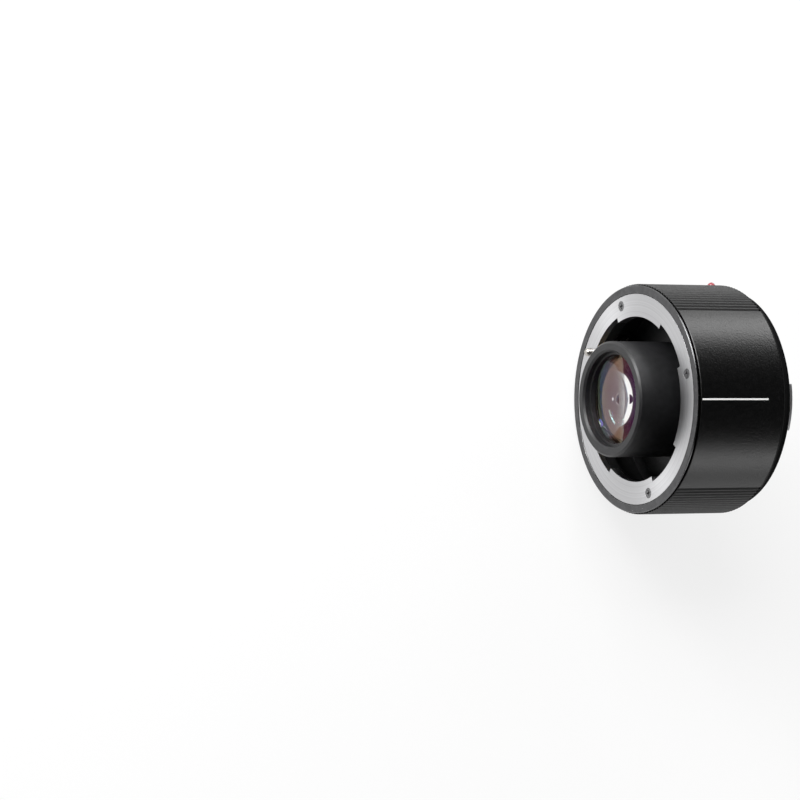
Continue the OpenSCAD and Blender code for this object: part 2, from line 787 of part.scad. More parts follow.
module lock_spring() {
    color(steel)
        polar(lock_pitch_r, lock_angle, cell_z)
            coil(lock_spring_r - lock_wire_d / 2, lock_wire_d, lock_shaft_z - cell_z, lock_spring_turns);
}

module release_knob() {
    pad_r = barrel_r + pad_gap;
    pad_z0 = knob_z - knob_pad_h / 2;
    pad_z1 = knob_z + knob_pad_h / 2;
    edge = knob_pad_t / 3;
    ridge_count = 5;
    ridge_pitch = knob_pad_angle / (ridge_count + 1);
    ridge_depth = 0.4;
    color(paint_black)
        difference() {
            union() {
                rotate_extrude(angle = knob_pad_angle, start = knob_angle - knob_pad_angle / 2)
                    polygon([[pad_r, pad_z0],
                             [pad_r + knob_pad_t - edge, pad_z0],
                             [pad_r + knob_pad_t, pad_z0 + edge],
                             [pad_r + knob_pad_t, pad_z1 - edge],
                             [pad_r + knob_pad_t - edge, pad_z1],
                             [pad_r, pad_z1]]);
                sector(cam_r + static_clearance, pad_r + knob_pad_t / 2,
                       knob_z - stem_h / 2, knob_z + stem_h / 2,
                       knob_angle - stem_angle / 2, knob_angle + stem_angle / 2);
            }
            for (i = [1 : ridge_count])
                rotate([0, 0, knob_angle - knob_pad_angle / 2 + i * ridge_pitch])
                    translate([0, 0, pad_z0 - cut_over])
                        linear_extrude(knob_pad_h + 2 * cut_over)
                            polygon([[pad_r + knob_pad_t - ridge_depth, 0],
                                     [pad_r + knob_pad_t + ridge_depth, -2 * ridge_depth],
                                     [pad_r + knob_pad_t + ridge_depth, 2 * ridge_depth]]);
            radial(knob_angle, knob_z)
                translate([0, 0, cam_r - cut_over])
                    cylinder(h = cut_over + knob_screw_bite + static_clearance,
                             d = small_screw_d + 2 * static_clearance);
        }
}

// Slanted slot that draws the lock pin down as the plate turns
module cam_slot() {
    run = 2 * (cam_r + cam_bore_r) / 2 * sin(release_turn / 2);
    slot_w = cross_pin_d + cam_clearance;
    slot_l = sqrt(run * run + lock_travel * lock_travel) + slot_w;
    rotate([0, 0, lock_angle - release_turn / 2])
        translate([cam_bore_r - cut_over, 0, cross_pin_z - lock_travel / 2])
            rotate([90, 0, 90])
                linear_extrude(cam_t + 2 * cut_over)
                    rotate([0, 0, atan2(lock_travel, run)])
                        square([slot_l, slot_w], center = true);
}

// Slot along which the plate runs on one guide screw
module guide_slot(angle) {
    slot_w = small_screw_d + cam_clearance;
    end_angle = slot_w / 2 / cam_bore_r * 180 / PI;
    sector(cam_bore_r - cut_over, cam_r + cut_over, guide_z - slot_w / 2, guide_z + slot_w / 2,
           angle - release_turn - end_angle, angle + end_angle);
}

module release_cam_plate() {
    color(steel)
        difference() {
            sector(cam_bore_r, cam_r, cam_z0, cam_z1, cam_from_angle, cam_to_angle);
            cam_slot();
            for (angle = guide_angles)
                guide_slot(angle);
            radial(knob_angle, knob_z)
                translate([0, 0, cam_bore_r - cut_over])
                    cylinder(h = cam_t + 2 * cut_over, d = small_screw_d + 2 * static_clearance);
        }
}

module knob_screw() {
    color(steel)
        radial(knob_angle, knob_z)
            translate([0, 0, cam_bore_r - small_head_h - static_clearance])
                mirror([0, 0, 1])
                    screw(small_head_d, small_head_h, small_screw_d,
                          cam_t + knob_screw_bite - static_clearance);
}

module cam_guide_screws() {
    head_gap = 0.15;
    color(steel)
        for (angle = guide_angles)
            radial(angle, guide_z)
                translate([0, 0, cam_bore_r - small_head_h - head_gap])
                    mirror([0, 0, 1])
                        screw(small_head_d, small_head_h, small_screw_d,
                              head_gap + cam_t + cam_clearance + guide_bite);
}

module front_contact_block() {
    color(moulded_black)
        difference() {
            sector(block_bore_r, block_r, block_z, block_top_z,
                   contact_angle - block_half_angle, contact_angle + block_half_angle);
            for (i = [0 : contact_count - 1])
                polar(block_mid_r, contact_at(i), 0) {
                    translate([0, 0, block_z - cut_over])
                        cylinder(h = shoulder_top_z - block_z + cut_over, r = shoulder_bore_r);
                    translate([0, 0, block_z])
                        cylinder(h = block_top_z, d = contact_pin_d + 2 * running_clearance);
                }
            for (side = [-1, 1])
                polar(block_mid_r, contact_angle + side * block_screw_offset, block_top_z)
                    screw_room(small_head_d, small_head_h, small_screw_d, block_screw_l);
        }
}

// Sprung pins that meet a lens's contacts
module contact_pins() {
    pin_r = contact_pin_d / 2;
    tip_z = block_top_z + contact_pin_reach;
    color(gold)
        for (i = [0 : contact_count - 1])
            polar(block_mid_r, contact_at(i), 0) {
                translate([0, 0, shoulder_top_z - shoulder_t])
                    cylinder(h = tip_z - pin_r - shoulder_top_z + shoulder_t, r = pin_r);
                translate([0, 0, tip_z - pin_r])
                    sphere(pin_r);
                translate([0, 0, shoulder_top_z - shoulder_t])
                    cylinder(h = shoulder_t, d = contact_shoulder_d);
            }
}

module contact_springs() {
    color(steel)
        for (i = [0 : contact_count - 1])
            polar(block_mid_r, contact_at(i), block_z)
                coil(contact_shoulder_d / 2 - contact_wire_d / 2, contact_wire_d,
                     shoulder_top_z - shoulder_t - block_z, contact_spring_turns);
}

module contact_block_screws() {
    color(steel)
        for (side = [-1, 1])
            polar(block_mid_r, contact_angle + side * block_screw_offset, block_top_z - static_clearance)
                screw(small_head_d, small_head_h - static_clearance, small_screw_d, block_screw_l);
}

module contact_board() {
    color(board_green)
        difference() {
            union() {
                sector(block_bore_r, block_r, contact_board_z, block_z,
                       contact_angle - block_half_angle, contact_angle + block_half_angle);
                translate([-flex_w / 2, block_mid_r, contact_board_z])
                    cube([flex_w, flex_y - block_mid_r, board_t]);
            }
            for (side = [-1, 1])
                polar(block_mid_r, contact_angle + side * block_screw_offset, block_top_z)
                    screw_room(small_head_d, small_head_h, small_screw_d, block_screw_l);
        }
}

module flex_cable() {
    color(film_amber)
        translate([-flex_w / 2, flex_y, board_z + board_t])
            cube([flex_w, flex_t, block_z - board_z - board_t]);
}

module main_board() {
    color(board_green)
        difference() {
            ring(board_bore_r, board_r, board_z, board_z + board_t);
            for (angle = board_screw_angles)
                polar(board_screw_r, angle, board_z + board_t + small_head_h)
                    screw_room(small_head_d, small_head_h, small_screw_d, board_screw_l);
        }
}

module board_chips() {
    chip_w = 5;
    chip_h = 0.9;
    color(moulded_black)
        for (angle = chip_angles)
            polar((board_bore_r + board_r) / 2, angle, board_z + board_t)
                translate([-chip_w / 2, -chip_w / 2, 0])
                    cube([chip_w, chip_w, chip_h]);
}

module board_screws() {
    color(steel)
        for (angle = board_screw_angles)
            polar(board_screw_r, angle, board_z + board_t + small_head_h)
                screw(small_head_d, small_head_h, small_screw_d, board_screw_l);
}

module front_cell() {
    step_1_r = lens_1[0] + lens_clearance;
    step_2_r = lens_2[0] + lens_clearance;
    color(moulded_black)
        difference() {
            rotate_extrude()
                polygon([[nose_r + lens_clearance, cell_z],
                         [cell_flange_r, cell_z],
                         [cell_flange_r, contact_board_z],
                         [snout_r, contact_board_z],
                         [snout_r, snout_z - snout_edge],
                         [snout_r - snout_edge, snout_z],
                         [step_1_r + snout_edge, snout_z],
                         [step_1_r, snout_z - snout_edge],
                         [step_1_r, ledge_1_z],
                         [step_2_r, ledge_1_z],
                         [step_2_r, ledge_3_z],
                         [ledge_3_r, ledge_3_z],
                         [ledge_3_r, ledge_3_z - lens_ledge_t],
                         [nose_r + lens_clearance, ledge_3_z - lens_ledge_t]]);
            for (angle = front_cell_screw_angles)
                polar(front_cell_screw_r, angle, contact_board_z + small_head_h)
                    screw_room(small_head_d, small_head_h, small_screw_d, front_cell_screw_l);
            for (angle = rear_cell_screw_angles)
                polar(rear_cell_screw_r, angle, cell_z - shelf_t - small_head_h)
                    mirror([0, 0, 1])
                        screw_room(small_head_d, small_head_h, small_screw_d, rear_cell_screw_l);
            for (side = [-1, 1])
                polar(block_mid_r, contact_angle + side * block_screw_offset, block_top_z)
                    screw_room(small_head_d, small_head_h, small_screw_d, block_screw_l);
            polar(lock_pitch_r, lock_angle, cell_z - cut_over)
                cylinder(h = cell_flange_t + 2 * cut_over, r = lock_spring_r + seat_clearance);
        }
}

module front_retaining_ring() {
    ring_r = lens_1[0];
    ring_bore_r = ring_r - retainer_w;
    ring_z = front_at(lens_1, lens_1_f, ring_bore_r) + lens_clearance;
    color(paint_black)
        ring(ring_bore_r, ring_r, ring_z, ring_z + retainer_h);
}

module lens_spacer() {
    spacer_r = lens_2[0];
    spacer_bore_r = spacer_r - retainer_w;
    color(paint_black)
        ring(spacer_bore_r, spacer_r, front_at(lens_2, lens_2_f, spacer_r) + lens_clearance,
             back_at(lens_1, lens_1_b, spacer_bore_r) - lens_clearance);
}

module rear_cell() {
    ledge_r = nose_bore_r - lens_ledge_w;
    color(moulded_black)
        difference() {
            rotate_extrude()
                polygon([[rear_bore_r, rear_cell_rise],
                         [rear_cell_r, rear_cell_rise],
                         [rear_cell_r, cell_z - shelf_t],
                         [rear_cell_flange_r, cell_z - shelf_t],
                         [rear_cell_flange_r, cell_z],
                         [nose_r, cell_z],
                         [nose_r, nose_z],
                         [nose_bore_r, nose_z],
                         [nose_bore_r, seat_6_z],
                         [ledge_r, seat_6_z],
                         [ledge_r, seat_6_z - lens_ledge_t],
                         [nose_bore_r, seat_6_z - lens_ledge_t],
                         [nose_bore_r, seat_7_z],
                         [rear_bore_r, seat_7_z]]);
            for (angle = rear_cell_screw_angles)
                polar(rear_cell_screw_r, angle, cell_z - shelf_t - small_head_h)
                    mirror([0, 0, 1])
                        screw_room(small_head_d, small_head_h, small_screw_d, rear_cell_screw_l);
        }
}

module middle_retaining_ring() {
    color(paint_black)
        ring(lens_4[0] - retainer_w, lens_4[0], middle_retainer_z, nose_z);
}

module rear_retaining_ring() {
    ring_r = lens_7[0];
    ring_bore_r = ring_r - retainer_w;
    ring_z = back_at(lens_7, lens_7_b, ring_bore_r) - lens_clearance;
    color(paint_black)
        ring(ring_bore_r, ring_r, ring_z - retainer_h, ring_z);
}

module front_cell_screws() {
    color(steel)
        for (angle = front_cell_screw_angles)
            polar(front_cell_screw_r, angle, contact_board_z + small_head_h)
                screw(small_head_d, small_head_h, small_screw_d, front_cell_screw_l);
}

module rear_cell_screws() {
    color(steel)
        for (angle = rear_cell_screw_angles)
            polar(rear_cell_screw_r, angle, cell_z - shelf_t - small_head_h)
                mirror([0, 0, 1])
                    screw(small_head_d, small_head_h, small_screw_d, rear_cell_screw_l);
}

module rear_baffle() {
    floor_z = rear_cell_rise - baffle_t;
    color(moulded_black)
        difference() {
            ring(0, baffle_r, floor_z, rear_cell_rise);
            ring(0, rear_bore_r, floor_z + baffle_lip_t, rear_cell_rise + cut_over);
            translate([-window_w / 2, -window_h / 2, floor_z - cut_over])
                cube([window_w, window_h, baffle_t + 2 * cut_over]);
        }
}

module rear_bayonet() {
    color(chrome)
        difference() {
            union() {
                ring(tube_bore_r, rear_flange_r, 0, rear_flange_t);
                ring(tube_bore_r, tube_r, -tube_depth, rear_flange_t);
                for (i = [0 : lug_count - 1])
                    sector(tube_r - tube_wall / 2, lug_r, -tube_depth, lug_t - tube_depth,
                           lug_end_angle - lug_angle + i * lug_pitch_angle,
                           lug_end_angle + i * lug_pitch_angle);
            }
            ring(tube_r, tube_r + relief_w, -relief_depth, relief_depth);
            for (angle = mount_screw_angles)
                polar(rear_screw_r, angle, 0)
                    mirror([0, 0, 1])
                        screw_room(screw_head_d, screw_head_h, screw_d, rear_screw_l);
            polar(lock_pitch_r, lock_angle, -cut_over)
                cylinder(h = rear_flange_t + 2 * cut_over, r = lock_pin_r + seat_clearance);
        }
}

module flange_shim() {
    color(steel)
        difference() {
            ring(tube_r, rear_flange_r, rear_flange_t, chassis_z0);
            for (angle = mount_screw_angles)
                polar(rear_screw_r, angle, 0)
                    cylinder(h = chassis_z0 + cut_over, d = screw_d + 2 * static_clearance);
        }
}

module rear_mount_screws() {
    color(steel)
        for (angle = mount_screw_angles)
            polar(rear_screw_r, angle, static_clearance)
                mirror([0, 0, 1])
                    screw(screw_head_d, screw_head_h - static_clearance, screw_d, rear_screw_l);
}

module rear_contact_block() {
    color(moulded_black)
        difference() {
            sector(rear_block_bore_r, rear_block_r, -rear_block_depth, chassis_z0,
                   contact_angle - block_half_angle, contact_angle + block_half_angle);
            for (i = [0 : contact_count - 1])
                polar(rear_pad_r, contact_at(i), -rear_block_depth - cut_over)
                    cylinder(h = rear_block_depth + chassis_z0 + 2 * cut_over,
                             d = pad_d + 2 * static_clearance);
            for (side = [-1, 1])
                polar(rear_pad_r, contact_angle + side * block_screw_offset, -rear_block_depth)
                    mirror([0, 0, 1])
                        screw_room(small_head_d, small_head_h, small_screw_d, rear_block_screw_l);
        }
}

module rear_contacts() {
    color(gold)
        for (i = [0 : contact_count - 1])
            polar(rear_pad_r, contact_at(i), -rear_block_depth - pad_reach)
                cylinder(h = board_z + rear_block_depth + pad_reach, d = pad_d);
}

module rear_block_screws() {
    color(steel)
        for (side = [-1, 1])
            polar(rear_pad_r, contact_angle + side * block_screw_offset, static_clearance - rear_block_depth)
                mirror([0, 0, 1])
                    screw(small_head_d, small_head_h - static_clearance, small_screw_d, rear_block_screw_l);
}

module mount_gasket() {
    color(rubber_black)
        ring(gasket_bore_r, gasket_r, -gasket_lip, chassis_z0);
}

// Lays a standing piece on its side, as the part comes to rest on a table
module laid() {
    rotate([0, -90, 0])
        rotate([0, 0, lay_turn])
            children();
}

laid() outer_barrel();
laid() front_rim_ring();
laid() rear_rim_ring();
laid() mount_dot();
laid() chassis();
laid() front_bayonet_ring();
laid() bayonet_leaf_springs();
laid() front_mount_screws();
laid() lock_pin();
laid() lock_cross_pin();
laid() lock_spring();
laid() release_knob();
laid() release_cam_plate();
laid() knob_screw();
laid() cam_guide_screws();
laid() front_contact_block();
laid() contact_pins();
laid() contact_springs();
laid() contact_block_screws();
laid() contact_board();
laid() flex_cable();
laid() main_board();
laid() board_chips();
laid() board_screws();
laid() front_cell();
laid() front_retaining_ring();
laid() lens_element(lens_1, lens_1_f);  // lens_element_1
laid() lens_spacer();
laid() lens_element(lens_2, lens_2_f);  // lens_element_2
laid() lens_element(lens_3, lens_3_f);  // lens_element_3
laid() rear_cell();
laid() middle_retaining_ring();
laid() lens_element(lens_4, lens_4_f);  // lens_element_4
laid() lens_element(lens_5, lens_5_f);  // lens_element_5
laid() lens_element(lens_6, lens_6_f);  // lens_element_6
laid() lens_element(lens_7, lens_7_f);  // lens_element_7
laid() rear_retaining_ring();
laid() front_cell_screws();
laid() rear_cell_screws();
laid() rear_baffle();
laid() rear_bayonet();
laid() flange_shim();
laid() rear_mount_screws();
laid() rear_contact_block();
laid() rear_contacts();
laid() rear_block_screws();
laid() mount_gasket();
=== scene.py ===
import json
import math

import bmesh
import bpy
from mathutils import Matrix, Vector


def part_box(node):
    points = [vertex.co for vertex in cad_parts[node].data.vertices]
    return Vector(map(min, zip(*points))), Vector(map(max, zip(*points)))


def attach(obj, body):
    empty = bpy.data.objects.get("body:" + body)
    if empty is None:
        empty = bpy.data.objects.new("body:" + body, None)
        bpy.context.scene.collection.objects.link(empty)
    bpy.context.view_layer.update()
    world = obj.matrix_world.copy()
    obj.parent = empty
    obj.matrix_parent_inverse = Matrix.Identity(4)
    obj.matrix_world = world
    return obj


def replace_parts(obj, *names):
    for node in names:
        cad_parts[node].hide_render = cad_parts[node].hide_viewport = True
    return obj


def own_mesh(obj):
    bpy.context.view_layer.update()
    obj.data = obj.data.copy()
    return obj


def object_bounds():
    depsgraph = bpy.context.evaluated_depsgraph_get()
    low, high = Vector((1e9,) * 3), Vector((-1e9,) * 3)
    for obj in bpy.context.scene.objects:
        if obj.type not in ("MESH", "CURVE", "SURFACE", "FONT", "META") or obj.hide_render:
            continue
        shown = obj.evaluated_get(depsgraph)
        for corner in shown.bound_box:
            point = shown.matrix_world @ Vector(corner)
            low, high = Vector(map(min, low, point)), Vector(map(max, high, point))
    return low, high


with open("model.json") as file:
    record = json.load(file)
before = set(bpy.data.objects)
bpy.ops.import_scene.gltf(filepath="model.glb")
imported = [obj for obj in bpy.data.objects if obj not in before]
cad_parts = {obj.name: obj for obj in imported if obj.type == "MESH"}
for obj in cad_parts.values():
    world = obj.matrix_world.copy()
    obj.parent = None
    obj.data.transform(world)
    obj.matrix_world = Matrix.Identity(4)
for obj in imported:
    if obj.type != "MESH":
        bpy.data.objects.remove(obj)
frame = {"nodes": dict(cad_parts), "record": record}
cad_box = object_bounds()

# Places on the barrel: heights over the rear flange in metres, and angles from the mount dot in degrees
MM = 0.001
BARREL_R = 34.0 * MM
BARREL_FROM = 4.0 * MM
BARREL_TO = 32.8 * MM
DOT_ANGLE = 0
INDEX_ANGLE = -90

# Half the angle of each smooth sector, round the index line and opposite it
SMOOTH_HALF = 49.5

# How far the part is rolled about its axis, from lying with the dot up
DOT_MIDDLE = sum(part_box("mount_dot"), Vector()) / 2
LAY_TURN = math.degrees(math.atan2(DOT_MIDDLE.y, DOT_MIDDLE.z))

# Index line
LINE_WIDTH = 0.5 * MM
LINE_FROM = 9.4 * MM
LINE_TO = 32.4 * MM
LINE_RISE = 0.025 * MM
LINE_SINK = 0.04 * MM
LINE_CELLS_ACROSS = 8
LINE_CELLS_ALONG = 24

# Camera: its lens and sensor in millimetres, the rest in metres
CAMERA_LENS = 169.06
CAMERA_SENSOR = 36
CAMERA_NEAR = 0.05
CAMERA_FAR = 50
CAMERA_OFF_SQUARE = math.radians(29.33)
CAMERA_DISTANCE = 1.1243
PICTURE_LEFT = 0.09848
PICTURE_DOWN = 0.00024

# Stage
FLOOR_HALF = 6.0
FLOOR_TONE = 0.9
FLOOR_GLOW = 0.8
WORLD_TONE = 0.005

# Degrees from the index line to the middle of each highlight along the barrel
UPPER_GLINT = 38.4
LOWER_GLINT = -31.5

# The values between which a noise mostly stays
NOISE_LOW = 0.3
NOISE_HIGH = 0.7

# How far the surface turns within the reach of a paler edge (wear, and on the black chrome ring also a
# painted highlight), as a cosine: at a sharp edge and where it is flat
SHARP_COSINE = 0.86
FLAT_COSINE = 0.99


def on_barrel(radius, angle, height):
    """A point by its distance from the optical axis, its angle and its height."""
    turn = math.radians(angle + LAY_TURN)
    return Vector((-height, radius * math.sin(turn), radius * math.cos(turn)))


def grey(level):
    """A neutral colour."""
    return (level, level, level)


class Finish:
    """A material under construction: its shader, and ways to make a surface uneven as a real one is."""

    def __init__(self, name, colour, roughness, metallic=0.0, ior=1.5):
        self.material = bpy.data.materials.new(name)
        self.material.use_nodes = True
        self.material.diffuse_color = (*colour, 1)
        self.tree = self.material.node_tree
        self.shader = self.tree.nodes["Principled BSDF"]
        self.colour = colour
        self.set("Base Color", (*colour, 1))
        self.set("Roughness", roughness)
        self.set("Metallic", metallic)
        self.set("IOR", ior)
        self.place = self.tree.nodes.new("ShaderNodeTexCoord").outputs["Object"]
        self.normal = None
        self.tint = None

    def set(self, socket, value):
        """A value that is the same all over the surface."""
        self.shader.inputs[socket].default_value = value
        return self

    def feed(self, socket, source):
        """A value that changes over the surface."""
        self.tree.links.new(source, self.shader.inputs[socket])
        return self

    def node(self, kind, links=None, values=None, **settings):
        """A node with its settings, its fixed values and what feeds it."""
        made = self.tree.nodes.new(kind)
        for key, value in settings.items():
            setattr(made, key, value)
        for socket, value in (values or {}).items():
            made.inputs[socket].default_value = value
        for socket, source in (links or {}).items():
            self.tree.links.new(source, made.inputs[socket])
        return made

    def maths(self, operation, *terms):
        """A calculation on one or two terms, each a number or what a node gives."""
        made = self.node("ShaderNodeMath", operation=operation)
        for socket, term in zip(made.inputs, terms):
            if isinstance(term, float):
                socket.default_value = term
            else:
                self.tree.links.new(term, socket)
        return made.outputs["Value"]

    def noise(self, size, detail=3.0):
        """Noise whose features are about this large."""
        made = self.node("ShaderNodeTexNoise", {"Vector": self.place},
                         {"Scale": 1 / size, "Detail": detail})
        return made.outputs["Fac"]

    def rings(self, pitch):
        """Noise that runs round the optical axis like the marks of a lathe."""
        parts = self.node("ShaderNodeSeparateXYZ", {"Vector": self.place}).outputs
        flat = self.node("ShaderNodeCombineXYZ", {"Y": parts["Y"], "Z": parts["Z"]}).outputs["Vector"]
        radius = self.node("ShaderNodeVectorMath", {0: flat}, operation="LENGTH").outputs["Value"]
        along = self.maths("ADD", radius, parts["X"])
        made = self.node("ShaderNodeTexNoise", {"W": along}, {"Scale": 1 / pitch, "Detail": 2.0},
                         noise_dimensions="1D")
        return made.outputs["Fac"]

    def spread(self, source, low, high, start=NOISE_LOW, end=NOISE_HIGH):
        """A number that runs from low to high while the source runs from start to end."""
        made = self.node("ShaderNodeMapRange", {"Value": source},
                         {"From Min": start, "From Max": end, "To Min": low, "To Max": high})
        return made.outputs["Result"]

    def by_mask(self, mask, outside, inside):
        """A number that is one value where the mask is 0 and another where it is 1."""
        return self.spread(mask, outside, inside, start=0.0, end=1.0)

    def mottle(self, source, share):
        """Colour that drifts by a share of itself."""
        made = self.node("ShaderNodeValToRGB", {"Fac": source})
        low, high = made.color_ramp.elements
        low.position = NOISE_LOW
        high.position = NOISE_HIGH
        low.color = (*(c * (1 - share) for c in self.colour), 1)
        high.color = (*(c * (1 + share) for c in self.colour), 1)
        self.tint = made.outputs["Color"]
        return self

    def edge_wear_and_sheen(self, radius, colour, most, size=2 * MM):
        """A paler colour where the surface turns sharply, broken up by noise of this size: rubbed edges,
        and on the black chrome ring also a painted highlight.
        """
        bevel = self.node("ShaderNodeBevel", None, {"Radius": radius}, samples=4).outputs["Normal"]
        flat = self.node("ShaderNodeNewGeometry").outputs["Normal"]
        turn = self.node("ShaderNodeVectorMath", {0: bevel, 1: flat}, operation="DOT_PRODUCT")
        edge = self.spread(turn.outputs["Value"], most, 0.0, SHARP_COSINE, FLAT_COSINE)
        patch = self.spread(self.noise(size), low=0.15, high=1.0, start=0.4, end=0.62)
        mask = self.maths("MULTIPLY", edge, patch)
        blend = self.node("ShaderNodeMix", {"Factor": mask}, data_type="RGBA")
        self.tree.links.new(self.tint, blend.inputs["A"])
        blend.inputs["B"].default_value = (*colour, 1)
        self.tint = blend.outputs["Result"]
        self.normal = bevel
        return self

    def uneven(self, source, low, high):
        """Roughness that drifts between two values."""
        return self.feed("Roughness", self.spread(source, low, high))

    def bump(self, source, depth):
        """Relief of this depth."""
        made = self.node("ShaderNodeBump", {"Height": source}, {"Distance": depth, "Strength": 1.0})
        if self.normal:
            self.tree.links.new(self.normal, made.inputs["Normal"])
        self.normal = made.outputs["Normal"]
        return self

    def done(self):
        """Feeds the shader and gives the material."""
        if self.tint:
            self.feed("Base Color", self.tint)
        if self.normal:
            self.feed("Normal", self.normal)
        return self.material


def rib_mask(finish):
    """1 on the ribbed sectors of the barrel and 0 on the smooth ones."""
    towards_dot = finish.node("ShaderNodeVectorMath", {0: finish.place}, {1: on_barrel(1, DOT_ANGLE, 0)},
                              operation="DOT_PRODUCT")
    from_middle = finish.maths("ABSOLUTE", towards_dot.outputs["Value"])
    border = BARREL_R * math.sin(math.radians(SMOOTH_HALF))
    blur = 0.1 * MM
    return finish.spread(from_middle, 0.0, 1.0, border - blur, border + blur)


def end_fade(finish):
    """1 along the barrel, and next to nothing on its front edge and its rear bevel."""
    along = finish.node("ShaderNodeSeparateXYZ", {"Vector": finish.place}).outputs["X"]
    from_waist = finish.maths("ABSOLUTE", finish.maths("ADD", along, (BARREL_FROM + BARREL_TO) / 2))
    end = (BARREL_TO - BARREL_FROM) / 2
    return finish.spread(from_waist, 1.0, 0.01, end - 0.03 * MM, end - 0.01 * MM)


def barrel_paint():
    """Satin black paint with a fine grain, duller on the ribs and dead matte at both ends."""
    finish = Finish("barrel_paint", (0.0008, 0.0008, 0.0009), roughness=0.31, ior=1.55)
    finish.mottle(finish.noise(3 * MM), share=0.25)
    finish.edge_wear_and_sheen(radius=0.12 * MM, colour=grey(0.03), most=0.25)
    ribs = rib_mask(finish)
    satin = finish.spread(finish.noise(1.2 * MM), low=0.29, high=0.34)
    dull = finish.by_mask(ribs, outside=0.0, inside=0.22)
    finish.feed("Roughness", finish.maths("ADD", satin, dull))
    shine = finish.by_mask(ribs, outside=0.5, inside=0.66)
    finish.feed("Specular IOR Level", finish.maths("MULTIPLY", shine, end_fade(finish)))
    finish.bump(finish.noise(0.5 * MM, detail=2.0), depth=0.065 * MM)
    return finish.done()


def rim_black():
    """A turned ring in black chrome, which shines where the light meets it; its paler edges are partly wear
    and partly a painted highlight.
    """
    finish = Finish("rim_black", (0.1, 0.1, 0.103), roughness=0.24, metallic=1.0)
    finish.mottle(finish.noise(2 * MM), share=0.15)
    # Paler edges: partly wear, partly a painted highlight along the ring's edge, kept unbroken by the large
    # noise size
    finish.edge_wear_and_sheen(radius=0.2 * MM, colour=grey(0.5), most=0.8, size=15 * MM)
    finish.uneven(finish.noise(0.8 * MM), low=0.21, high=0.28)
    finish.bump(finish.rings(0.09 * MM), depth=0.001 * MM)
    return finish.done()


def rim_matte():
    """The rear ring: black, bead blasted so that it hardly shines."""
    finish = Finish("rim_matte", (0.004, 0.004, 0.0042), roughness=0.6, ior=1.15)
    finish.set("Specular IOR Level", 0.07)
    finish.mottle(finish.noise(1.2 * MM), share=0.3)
    finish.edge_wear_and_sheen(radius=0.08 * MM, colour=grey(0.03), most=0.4)
    finish.uneven(finish.noise(0.6 * MM), low=0.55, high=0.65)
    finish.bump(finish.noise(0.4 * MM), depth=0.02 * MM)
    return finish.done()


def mount_metal():
    """Satin chrome on turned brass, with lathe marks and fine rubbing."""
    finish = Finish("mount_metal", (0.6, 0.6, 0.61), roughness=0.36, metallic=1.0)
    finish.mottle(finish.rings(0.5 * MM), share=0.08)
    finish.edge_wear_and_sheen(radius=0.1 * MM, colour=grey(0.82), most=0.6)
    finish.uneven(finish.rings(0.12 * MM), low=0.33, high=0.42)
    finish.bump(finish.rings(0.07 * MM), depth=0.0012 * MM)
    finish.set("Anisotropic", 0.75)
    turned = finish.node("ShaderNodeTangent", direction_type="RADIAL", axis="X")
    finish.feed("Tangent", turned.outputs["Tangent"])
    return finish.done()


def red_enamel():
    """Glossy red enamel with a soft, slightly cloudy body."""
    finish = Finish("red_enamel", (0.26, 0.03, 0.04), roughness=0.22, ior=1.55)
    finish.set("Coat Weight", 0.3).set("Coat Roughness", 0.12)
    finish.mottle(finish.noise(0.6 * MM), share=0.15)
    finish.uneven(finish.noise(0.4 * MM), low=0.18, high=0.28)
    finish.bump(finish.noise(0.5 * MM), depth=0.003 * MM)
    return finish.done()


def cast_alloy():
    """Black coated casting with the faint skin of its mould."""
    finish = Finish("cast_alloy", (0.018, 0.018, 0.019), roughness=0.5)
    finish.mottle(finish.noise(1.8 * MM), share=0.3)
    finish.edge_wear_and_sheen(radius=0.15 * MM, colour=grey(0.16), most=0.6)
    finish.uneven(finish.noise(0.7 * MM), low=0.42, high=0.58)
    finish.bump(finish.noise(0.3 * MM), depth=0.012 * MM)
    return finish.done()


def spring_steel():
    """Bare steel, drawn or rolled, with a straw tint."""
    finish = Finish("spring_steel", (0.5, 0.48, 0.45), roughness=0.3, metallic=1.0)
    finish.mottle(finish.noise(1 * MM), share=0.12)
    finish.uneven(finish.noise(0.35 * MM), low=0.24, high=0.38)
    finish.bump(finish.noise(0.12 * MM), depth=0.0015 * MM)
    return finish.done()


def screw_steel():
    """Black plated screws, worn bright round the recess and the head's edge."""
    finish = Finish("screw_steel", (0.2, 0.2, 0.205), roughness=0.32, metallic=1.0)
    finish.mottle(finish.noise(0.6 * MM), share=0.2)
    finish.edge_wear_and_sheen(radius=0.08 * MM, colour=grey(0.6), most=0.7, size=0.5 * MM)
    finish.uneven(finish.noise(0.3 * MM), low=0.26, high=0.4)
    finish.bump(finish.rings(0.05 * MM), depth=0.001 * MM)
    return finish.done()


def contact_gold():
    """Gold plating with fine rubbing marks."""
    finish = Finish("contact_gold", (0.78, 0.53, 0.17), roughness=0.22, metallic=1.0)
    finish.mottle(finish.noise(0.4 * MM), share=0.1)
    finish.uneven(finish.noise(0.15 * MM), low=0.16, high=0.32)
    finish.bump(finish.noise(0.1 * MM), depth=0.001 * MM)
    return finish.done()


def black_plastic():
    """Moulded black plastic with a fine spark-eroded grain."""
    finish = Finish("black_plastic", (0.012, 0.012, 0.0125), roughness=0.5, ior=1.49)
    finish.mottle(finish.noise(1.4 * MM), share=0.25)
    finish.uneven(finish.noise(0.5 * MM), low=0.44, high=0.58)
    finish.bump(finish.noise(0.14 * MM, detail=2.0), depth=0.006 * MM)
    return finish.done()


